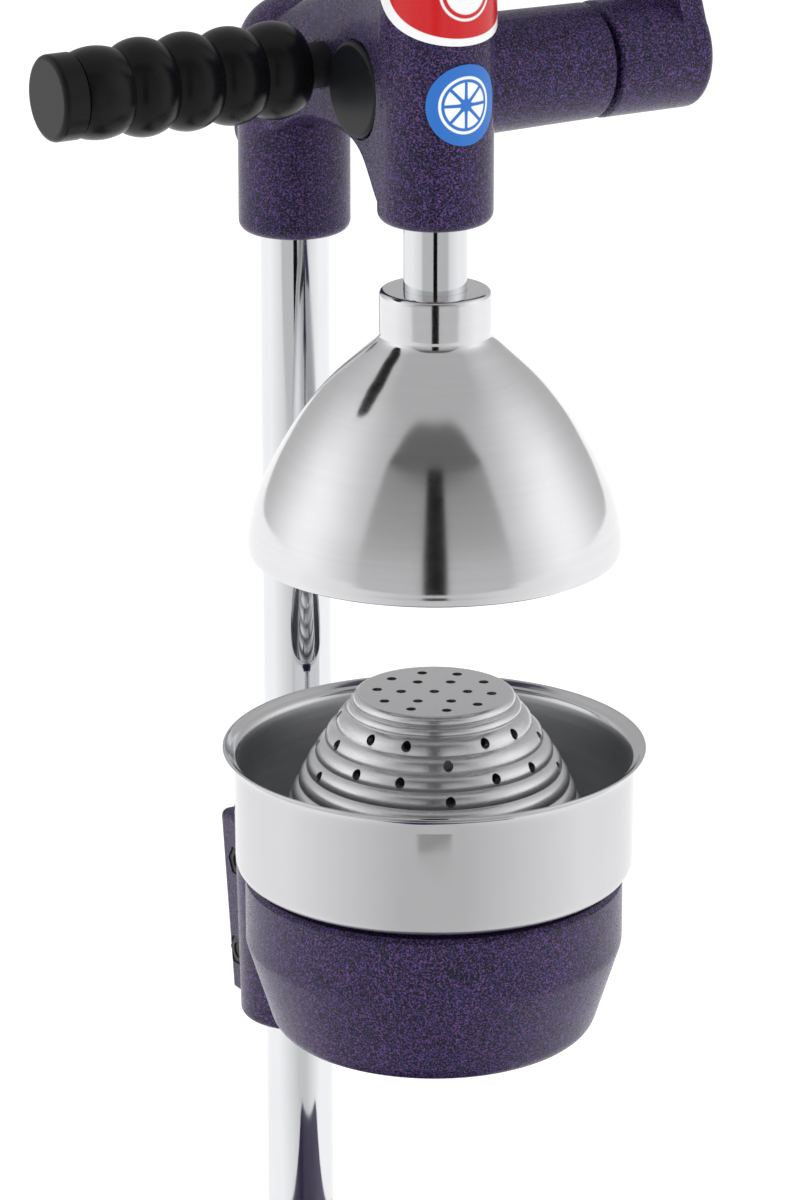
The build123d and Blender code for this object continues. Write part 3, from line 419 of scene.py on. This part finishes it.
def padRubber():
    # matt black rubber with dust in its grain
    look = rubberLook
    rubber = Finish("padRubber")
    grain = rubber.noise(look["grainScale"], 3.0, 0.6)
    dust = rubber.noise(look["dustScale"], 5.0, 0.7).above(0.55, 0.25)
    return rubber.shader(Base_Color=rubber.mix(dust * 0.5, look["clean"], look["dusty"]),
                         Roughness=0.72 + grain * 0.15, Normal=rubber.bump(grain, look["grainDepth"], 0.6))


badgeLook = {"centreZ": 0.557, "halfHigh": 0.020, "halfWide": 0.0345, "bossRadius": 0.0209, "border": 0.87,
             "red": (0.52, 0.006, 0.010), "cream": (0.80, 0.80, 0.80), "squeeze": 1.72}


def enamelBadge():
    # arc length and height give the oval its own coordinates, and a plain fruit with one leaf
    # stands in its middle
    look = badgeLook
    enamel = Finish("enamelBadge")
    across = enamel.turnAround(0.0, 0.0) * (look["bossRadius"] / look["halfWide"])
    up = (enamel.z - look["centreZ"]) / look["halfHigh"]
    reach = (across * across + up * up) ** 0.5
    fruitX, fruitZ = across * look["squeeze"], up + 0.08
    fruit = (fruitX * fruitX + fruitZ * fruitZ) ** 0.5
    disc = 1 - fruit.above(0.50, 0.02)
    ring = 1 - (fruit - 0.42).size().above(0.035, 0.02)
    leafX = across * look["squeeze"] - 0.20
    leafZ = up - 0.55 - leafX * 0.5
    leaf = 1 - ((leafX * leafX * 6 + leafZ * leafZ * 30) ** 0.5).above(0.5, 0.03)
    cream = (reach.above(look["border"], 0.012) + disc - ring * disc + leaf).clamp()
    grain = enamel.noise(900.0, 2.0)
    return enamel.shader(Base_Color=enamel.mix(cream, look["red"], look["cream"]),
                         Roughness=0.24 + grain * 0.06, Coat_Weight=0.25, Coat_Roughness=0.06,
                         Specular_IOR_Level=0.35, Normal=enamel.bump(cream + grain * 0.05, 0.00008, 0.5))


stickerLook = {"centreZ": 0.5165, "radius": 0.014, "bossRadius": 0.0204, "blue": (0.012, 0.14, 0.50),
               "pale": (0.80, 0.84, 0.90), "segments": 8}


def printedSticker():
    # round blue label with a plain slice of citrus: a rim and wedge-shaped segments
    vinyl = Finish("printedSticker")
    across = vinyl.turnAround(0.0, 0.0) * stickerLook["bossRadius"]
    up = vinyl.z - stickerLook["centreZ"]
    reach = ((across * across + up * up) ** 0.5) / stickerLook["radius"]
    spin = vinyl.x.math("ARCTAN2", up, across)
    gap = (spin * (stickerLook["segments"] / 2)).sine().size() * reach
    wedge = gap.above(0.16, 0.03) * reach.above(0.12, 0.02) * (1 - reach.above(0.56, 0.02))
    rim = reach.above(0.64, 0.02) * (1 - reach.above(0.71, 0.02))
    colour = vinyl.mix((wedge + rim).clamp(), stickerLook["blue"], stickerLook["pale"])
    grain = vinyl.noise(1200.0, 2.0)
    return vinyl.shader(Base_Color=colour, Roughness=0.34 + grain * 0.08,
                        Normal=vinyl.bump(grain, 0.00003, 0.3))


coat = hammertoneCoat()
columnChrome = chromePlate("columnChrome", chromeLook["columnTone"], chromeLook["columnGloss"],
                           chromeLook["columnScratch"])
rodChrome = chromePlate("rodChrome", chromeLook["rodTone"], chromeLook["rodGloss"], chromeLook["rodScratch"])
bellMetal = buffedAluminium()
bowlSteel = stainlessBowl()
coneSteel = turnedStainless()
gripBlack = mouldedBlack("gripBlack", blackLook["gripTone"], blackLook["gripGloss"])
capBlack = mouldedBlack("capBlack", blackLook["capTone"], blackLook["capGloss"])
bronze, zinc, blacked = smallPart("sinteredBronze"), smallPart("zincSteel"), smallPart("blackedSteel")
rubber = padRubber()
enamel = enamelBadge()
vinyl = printedSticker()
print("finishes made")

finishOf = {
    "anti_slip_pad": rubber, "base_plate": coat, "seat_casting": coat, "head_casting": coat,
    "lever_arm": coat, "column": columnChrome, "rack_rod": rodChrome, "pinion_gear": rodChrome,
    "pinion_shaft": rodChrome, "bell": bellMetal, "bowl": bowlSteel, "strainer_cone": coneSteel,
    "column_washer": zinc, "column_bolt": zinc, "grub_screws": blacked, "seat_clamp_bolts": blacked,
    "seat_clamp_nuts": blacked, "lever_hub_screw": zinc, "bell_screw": zinc, "side_grip_stud": blacked,
    "lever_grip_stud": zinc, "shaft_keys": zinc, "side_grip": gripBlack, "lever_grip": gripBlack,
    "shaft_end_cap": capBlack, "thrust_washer": capBlack, "rack_bush_lower": bronze,
    "rack_bush_upper": bronze, "shaft_bush_left": bronze, "shaft_bush_inner": bronze,
    "shaft_bush_outer": bronze, "front_badge": enamel, "round_sticker": vinyl,
}
for name, finish in finishOf.items():
    slots = nodes[name].data.materials
    slots.clear()
    slots.append(finish)
print("CAD nodes finished")

bellForm = {"collarRadius": 19.5, "collarEdge": 2.2, "collarDrop": 10.0, "neckDrop": 14.0, "skirtFrom": 17.0,
            "boreRadius": 11.05, "boreDepth": 36.0, "rimThick": 3.2, "rimHigh": 2.5, "roofDrop": 51.0,
            "rimCorners": [1.4, 1.2], "screwRadius": 4.4, "headRadius": 7.5, "headDrop": 42.0,
            "hollowRadius": 61.5, "hollowHigh": 4.0,
            "skirt": [(25.1, -22.0), (36.7, -33.0), (45.7, -44.0), (52.4, -54.5), (58.2, -65.4),
                      (62.7, -76.3), (65.1, -87.0), (65.3, -91.5)],
            "hollow": [(61.2, -85.0), (59.6, -76.5), (56.4, -68.5), (51.2, -60.2), (44.0, -53.8)],
            "roof": [(34.0, -51.0), (20.0, -51.0)]}


def makeBell():
    # collar, flared skirt, rolled rim, hollow and the screw's well, in millimetres down from the top
    form = bellForm
    top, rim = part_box("bell")[1].z / millimetre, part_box("bell")[0].z / millimetre
    radius, bore = form["collarRadius"], form["boreRadius"]
    collar = roundCorners([(bore, top), (radius, top), (radius, top - form["collarDrop"])],
                          [form["collarEdge"]])
    skirt = smoothLine([(radius, top - form["neckDrop"]), (radius + 0.3, top - form["skirtFrom"])]
                       + [(r, top + h) for r, h in form["skirt"]])
    outer, rimTop = form["skirt"][-1][0], rim + form["rimHigh"]
    lip = roundCorners([(outer, rimTop), (outer - 0.5, rim), (outer - form["rimThick"] - 0.4, rim),
                        (outer - form["rimThick"] - 0.7, rimTop)], form["rimCorners"])
    hollow = smoothLine([(form["hollowRadius"], rim + form["hollowHigh"])]
                        + [(r, top + h) for r, h in form["hollow"] + form["roof"]])
    roof, head, seat = (top - form[key] for key in ("roofDrop", "headDrop", "boreDepth"))
    well = [(form["headRadius"], roof), (form["headRadius"], head), (form["screwRadius"], head),
            (form["screwRadius"], seat), (bore, seat)]
    piece = lathe("bellSurface", np.concatenate([collar, skirt, lip, hollow, well]), "rack",
                  bellMetal)
    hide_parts("bell")


makeBell()

bowlForm = {"wallRadius": 70.7, "wall": 1.5, "high": 46.1, "flareHigh": 7.5, "rimRadius": 75.0,
            "cornerRadius": 5.5, "floorThick": 2.0, "spigotRadius": 47.95, "spoutRadius": 10.0,
            "spoutHigh": 22.0, "funnelHigh": 40.0, "funnelRadius": 44.0, "drainRadius": 46.5,
            "ribRadius": 52.95, "ribHigh": 3.0, "outsideCorners": [4.0, 2.0, 0.8, 0.5],
            "insideCorners": [4.0, 0.3, 0.4, 0.4, 0.3, 1.0, 1.0, 4.0]}


def makeBowl():
    # spout, funnel, spigot, wall and a flared lip with a rolled edge, in millimetres
    form = bowlForm
    low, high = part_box("bowl")[0].z / millimetre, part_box("bowl")[1].z / millimetre
    wallR, rimR, flare = form["wallRadius"], form["rimRadius"], form["flareHigh"]
    spoutR, spigotR, funnelR, ribR = (form[k + "Radius"] for k in ("spout", "spigot", "funnel", "rib"))
    wall, funnelTop = form["wall"], low + form["funnelHigh"]
    floor = high - form["high"]
    floorTop, ribTop = floor + form["floorThick"], floor + form["floorThick"] + form["ribHigh"]
    inner, spoutInner = wallR - wall, spoutR - wall
    outside = roundCorners([(spoutR, low), (spoutR, low + form["spoutHigh"]), (funnelR, funnelTop),
                            (spigotR, funnelTop), (spigotR, floor), (wallR, floor), (wallR, high - flare)],
                           form["outsideCorners"] + [form["cornerRadius"]])
    lip = smoothLine([(wallR, high - flare + 0.5), (wallR + 0.5, high - 0.62 * flare),
                      (wallR + 1.8, high - 0.33 * flare), (rimR - 0.35, high - 0.9)])
    edge = smoothLine([(rimR, high - 0.55), (rimR - 0.1, high - 0.15), (rimR - 0.6, high),
                       (rimR - 1.3, high - 0.35)], 4)
    mouth = smoothLine([(rimR - 2.6, high - 1.5), (inner + 1.2, high - 0.40 * flare),
                        (inner + 0.35, high - 0.75 * flare), (inner, high - flare - 2)])
    inside = roundCorners([(inner, high - flare - 3), (inner, floorTop), (ribR, floorTop), (ribR, ribTop),
                           (ribR - wall, ribTop), (ribR - wall, floorTop),
                           (form["drainRadius"], floorTop - 2),
                           (funnelR, funnelTop + 2), (spoutInner, low + form["spoutHigh"] + 2),
                           (spoutInner, low)], form["insideCorners"])
    piece = lathe("bowlSurface", np.concatenate([outside, lip, edge, mouth, inside]), "bowl",
                  bowlSteel)
    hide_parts("bowl")


makeBowl()
print("bell and bowl turned")

# brightness, and angles in radians: turn is level, from straight in front; lift is up from level
studio = {"floor": (0.97, 0.97, 0.972), "floorHalf": 6.0, "floorRough": 0.55, "floorGlow": 0.24,
          "sky": 1.06, "fill": 0.95, "room": 0.50,
          "sideGlow": 0.62, "sideTurn": 1.57, "sideWide": 0.62, "sideLift": 0.75, "sideSoft": 0.7,
          "archTurn": 0.84, "archLift": 1.12, "archLine": 0.76, "archSoft": 0.30, "lineSoft": 0.05,
          "archHigh": 0.14, "archLow": 0.30, "archFoot": 0.58,
          "floorFront": 0.66, "floorSide": 1.08, "floorTurn": 0.95, "floorSoft": 1.3, "sheenMost": 1.1,
          "archFloor": 1.05, "footTurnSoft": 0.15, "footSoft": 0.12,
          "boxPower": 9.0, "boxAim": (0, 0, 0.4),
          "stripWide": 0.25, "stripFar": 1.0, "stripHigh": 1.4, "stripShade": 0.004,
          "footWide": 0.24, "footFar": 0.743, "footHigh": 0.017, "footShade": 0.02}
# each softbox: its place, width and height in metres
boxes = {"leftBox": ((-2.0, -0.2, 0.9), 1.4, 2.2), "rightBox": ((1.1, -1.9, 1.0), 1.2, 2.2)}


def stageSheet(name, corners, material):
    # one flat sheet through four corners, not part of the object
    mesh = bpy.data.meshes.new(name)
    mesh.from_pydata([tuple(c) for c in corners], [], [(0, 1, 2, 3)])
    mesh.materials.append(material)
    sheet = bpy.data.objects.new(name, mesh)
    bpy.context.scene.collection.objects.link(sheet)
    return sheet


floorPaint = Finish("floorPaint").shader(Base_Color=studio["floor"], Roughness=studio["floorRough"],
                                         Emission_Color=(1.0, 1.0, 1.0),
                                         Emission_Strength=studio["floorGlow"])
frontWay = (-0.5, -0.866)  # the level direction from the object to the camera
half = studio["floorHalf"]
corners = [(-half, -half), (half, -half), (half, half), (-half, half)]
floor = stageSheet("floor", [(x, y, 0.0) for x, y in corners], floorPaint)
floor.visible_glossy = False

# the floor that reflections meet: bright at the sides, greyer in front, and the arch's foot further out
sheen = Finish("floorSheen")
ahead = sheen.x * frontWay[0] + sheen.y * frontWay[1]
aside = (sheen.x * frontWay[1] - sheen.y * frontWay[0]).size()
swing = aside.math("ARCTAN2", aside, ahead)
toSide = swing.above(studio["floorTurn"], studio["floorSoft"])
tone = studio["floorFront"] + (studio["floorSide"] - studio["floorFront"]) * toSide
inFront = 1 - swing.above(studio["archTurn"], studio["footTurnSoft"])
footOfArch = inFront * ahead.above(studio["archFloor"], studio["footSoft"])
tone = tone + (studio["archFoot"] - tone) * footOfArch
glowing = sheen.mix(tone / studio["sheenMost"], (0.0, 0.0, 0.0), (1.0, 1.0, 1.0))
sheen.shader(Base_Color=(0.0, 0.0, 0.0), Roughness=1.0, Specular_IOR_Level=0.0, Emission_Color=glowing,
             Emission_Strength=studio["sheenMost"])
mirrorFloor = stageSheet("mirrorFloor", [(x, y, -0.001) for x, y in corners], sheen.material)
mirrorFloor.visible_camera = False
mirrorFloor.visible_diffuse = False
mirrorFloor.visible_shadow = False

# the room: plain and white, but in reflections it has a glow at each side and a grey arch in front,
# whose outline is (turn / archTurn)^4 + (lift / archLift)^4 = 1
world = bpy.data.worlds.new("studio")
bpy.context.scene.world = world
world.use_nodes = True
sky = world.node_tree
sky.nodes.clear()
skyPlace = sky.nodes.new("ShaderNodeTexCoord")
skySplit = sky.nodes.new("ShaderNodeSeparateXYZ")
sky.links.new(skyPlace.outputs["Generated"], skySplit.inputs[0])
skyX, skyY, skyZ = (Wire(sky, skySplit.outputs[k]) for k in range(3))
sideways = (skyX * frontWay[1] - skyY * frontWay[0]).size()
turn = sideways.math("ARCTAN2", sideways, skyX * frontWay[0] + skyY * frontWay[1])
lift = skyZ.math("ARCSINE", skyZ).most(0.0)
outline = (turn / studio["archTurn"]) ** 4 + (lift / studio["archLift"]) ** 4
arch = 1 - outline.above(1.0, studio["archSoft"])
lowTone = studio["archFoot"] + (studio["archLow"] - studio["archFoot"]) * (lift / studio["archLine"]).clamp()
archTone = lowTone + (studio["archHigh"] - lowTone) * lift.above(studio["archLine"], studio["lineSoft"])
offSide = (turn - studio["sideTurn"]) / studio["sideWide"]
lobe = offSide.math("EXPONENT", offSide * offSide * -1.0)
lowDown = 1 - lift.above(studio["sideLift"], studio["sideSoft"])
glow = studio["room"] + lobe * lowDown * studio["sideGlow"]
mirrored = glow + (archTone - glow) * arch
seen = sky.nodes.new("ShaderNodeLightPath")
cameraRay, glossyRay = (Wire(sky, seen.outputs[name]) for name in ("Is Camera Ray", "Is Glossy Ray"))
brightness = studio["fill"] + (mirrored - studio["fill"]) * glossyRay
brightness = brightness + (studio["sky"] - studio["fill"]) * cameraRay
backdrop = sky.nodes.new("ShaderNodeBackground")
backdrop.inputs[0].default_value = (1.0, 1.0, 1.0, 1.0)
sky.links.new(brightness.socket, backdrop.inputs[1])
sky.links.new(backdrop.outputs[0], sky.nodes.new("ShaderNodeOutputWorld").inputs[0])

view = {"at": (-0.8927, -1.5222, 0.9219), "look": (-0.0105, 0.00605, 0.335), "lens": 159.0}
camera = bpy.data.objects.new("camera", bpy.data.cameras.new("camera"))
bpy.context.scene.collection.objects.link(camera)
camera.location = view["at"]
camera.rotation_euler = (Vector(view["look"]) - Vector(view["at"])).to_track_quat("-Z", "Y").to_euler()
camera.data.lens = view["lens"]
camera.data.sensor_width = 36.0
camera.data.clip_end = 50.0
bpy.context.scene.camera = camera
bpy.context.scene.view_settings.view_transform = "Standard"


def softbox(name, place, wide, high):
    # a large soft lamp that lights the object and stays out of its reflections
    lamp = bpy.data.objects.new(name, bpy.data.lights.new(name, "AREA"))
    bpy.context.scene.collection.objects.link(lamp)
    lamp.data.shape = "RECTANGLE"
    lamp.data.size = wide
    lamp.data.size_y = high
    lamp.data.energy = studio["boxPower"]
    lamp.location = place
    lamp.visible_glossy = False
    lamp.rotation_euler = (Vector(studio["boxAim"]) - Vector(place)).to_track_quat("-Z", "Y").to_euler()


for name, (place, wide, high) in boxes.items():
    softbox(name, place, wide, high)


def flag(name, far, wide, high, shade):
    # a dark card in front of the object that only shows in reflections
    foot = Vector((frontWay[0] * far, frontWay[1] * far, 0.0))
    side = Vector((-frontWay[1], frontWay[0], 0.0)) * wide / 2
    rise = Vector((0, 0, high))
    cloth = Finish(name + "Cloth").shader(Base_Color=(shade, shade, shade), Roughness=0.9,
                                          Specular_IOR_Level=0.0)
    card = stageSheet(name, [foot - side, foot + side, foot + side + rise, foot - side + rise], cloth)
    card.visible_camera = False
    card.visible_diffuse = False
    card.visible_shadow = False


flag("cameraStrip", studio["stripFar"], studio["stripWide"], studio["stripHigh"], studio["stripShade"])
flag("standFoot", studio["footFar"], studio["footWide"], studio["footHigh"], studio["footShade"])
print("studio set")
